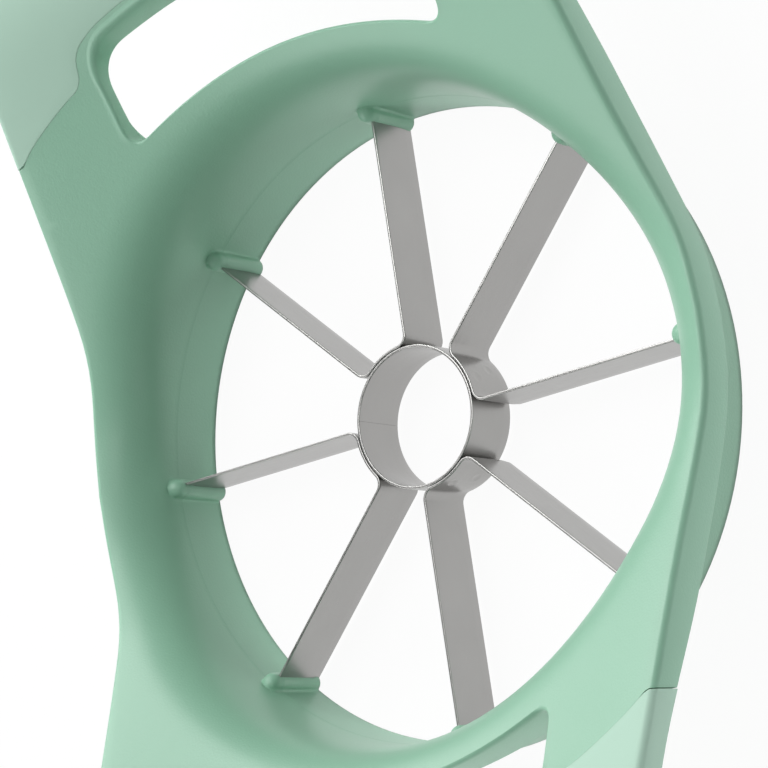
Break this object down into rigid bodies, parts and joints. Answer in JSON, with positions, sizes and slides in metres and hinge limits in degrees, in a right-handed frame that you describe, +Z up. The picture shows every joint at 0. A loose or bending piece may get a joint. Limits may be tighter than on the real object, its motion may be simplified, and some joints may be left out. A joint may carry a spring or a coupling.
{
  "type": "apple slicer",
  "caption": "Push-down apple slicer: round moulded frame with two looped handles and soft grips, radial steel blade strips on a hollow core.",
  "frame": {"origin": "centre of the overall box at its base, which is the middle of the flat round foot, on the axis of the core", "axes": "+X along the handles (longest extent), +Y across the waist, +Z up towards the user's hands, blades' sharp edges face -Z"},
  "size_m": [0.2162, 0.1252, 0.0541],
  "materials": {
    "frame_plastic": "satin moulded plastic with a fine spark texture",
    "grip_soft": "matte soft overmould",
    "blade_steel": "satin rolled strip, bright along the edges"
  },
  "bodies": {
    "root": {"frame": "frame_plastic", "grip_right": "grip_soft", "grip_left": "grip_soft", "core_ring": "blade_steel", "blade_strip_1": "blade_steel", "blade_strip_2": "blade_steel", "blade_strip_3": "blade_steel", "blade_strip_4": "blade_steel"}
  },
  "joints": []
}
